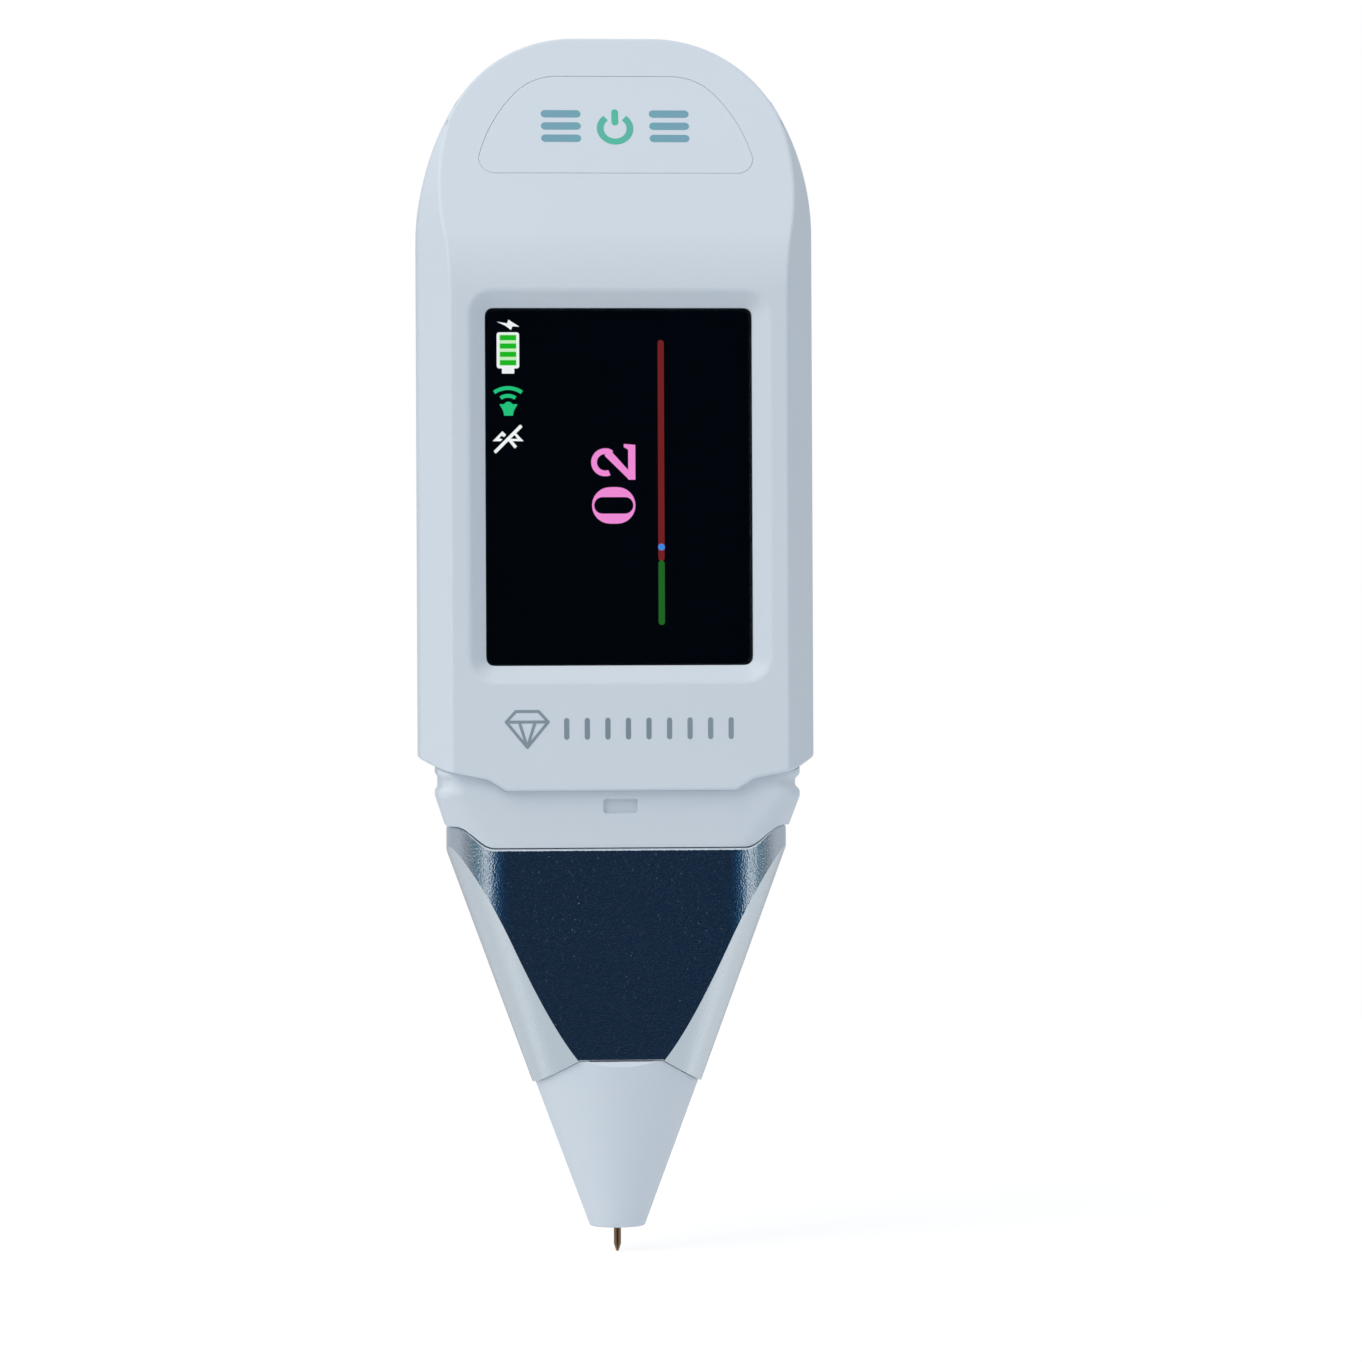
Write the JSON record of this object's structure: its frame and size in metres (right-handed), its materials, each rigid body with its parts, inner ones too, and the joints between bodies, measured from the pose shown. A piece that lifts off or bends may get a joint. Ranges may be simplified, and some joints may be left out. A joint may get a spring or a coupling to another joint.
{
  "type": "thermal diamond tester",
  "caption": "Pen-shaped thermal diamond tester with an arched head, colour screen, top power key, chromed grip and a sprung needle in a white cone.",
  "frame": {"origin": "middle of the metal grip on the needle's axis, where the fingers hold it", "axes": "+Z from the needle up along the tester, +X to the right as seen from the screen side, screen facing -Y"},
  "size_m": [0.0456, 0.023, 0.1409],
  "materials": {
    "white_abs": "fine semi-gloss white plastic",
    "white_key": "fine semi-gloss white plastic",
    "white_nozzle": "smooth white plastic",
    "satin_chrome": "satin chrome plating, finely pearled",
    "screen_glass": "clear cover glass",
    "display_panel": "colour display panel",
    "black_plastic": "moulded black",
    "foam": "closed-cell foam",
    "circuit_board": "green solder mask",
    "connector_resin": "moulded off-white",
    "amber_film": "polyimide film",
    "pouch": "laminated foil pouch",
    "red_wire": "red insulation",
    "black_wire": "black insulation",
    "steel": "plain steel",
    "brass": "turned brass",
    "copper": "copper alloy"
  },
  "bodies": {
    "housing": {"front_shell": "white_abs", "rear_shell": "white_abs", "switch_body": "steel", "key_board": "circuit_board", "key_ribbon": "amber_film", "key_socket": "connector_resin", "display_window": "screen_glass", "display_gasket": "foam", "display_panel": "display_panel", "display_tray": "steel", "display_flex": "amber_film", "flex_socket": "connector_resin", "main_board": "circuit_board", "processor_chip": "black_plastic", "power_chip": "black_plastic", "shield_can": "steel", "probe_socket": "connector_resin", "charge_header": "connector_resin", "battery_socket": "connector_resin", "battery_cell": "pouch", "battery_pad": "foam", "battery_lead_red": "red_wire", "battery_lead_black": "black_wire", "buzzer": "black_plastic", "charge_socket": "steel", "charge_tongue": "black_plastic", "charge_board": "circuit_board", "charge_lead": "black_wire", "shell_screw_upper_left": "steel", "shell_screw_upper_right": "steel", "shell_screw_lower_left": "steel", "shell_screw_lower_right": "steel", "neck_body": "white_abs", "grip_shell": "satin_chrome", "grip_contact": "copper", "nozzle": "white_nozzle", "probe_bush": "brass", "probe_sleeve": "steel", "probe_plug": "brass", "probe_spring": "steel", "probe_board": "circuit_board", "amplifier_chip": "black_plastic", "probe_ribbon": "amber_film", "probe_lead_red": "red_wire", "probe_lead_black": "black_wire"},
    "key": {"power_key": "white_key", "switch_button": "black_plastic"},
    "probe": {"probe_needle": "copper", "probe_carrier": "connector_resin", "probe_heater": "black_plastic"}
  },
  "joints": [
    {"name": "key_press", "type": "slide", "parent": "housing", "child": "key", "axis": [0, 0.9205, -0.3907], "range_m": [0, 0.0005], "stiffness_N_per_m": 3000, "springref_m": -0.0003},
    {"name": "probe_slide", "type": "slide", "parent": "housing", "child": "probe", "axis": [0, 0, 1], "range_m": [0, 0.0015], "stiffness_N_per_m": 200, "springref_m": -0.004, "deforming": ["probe_spring"]}
  ]
}
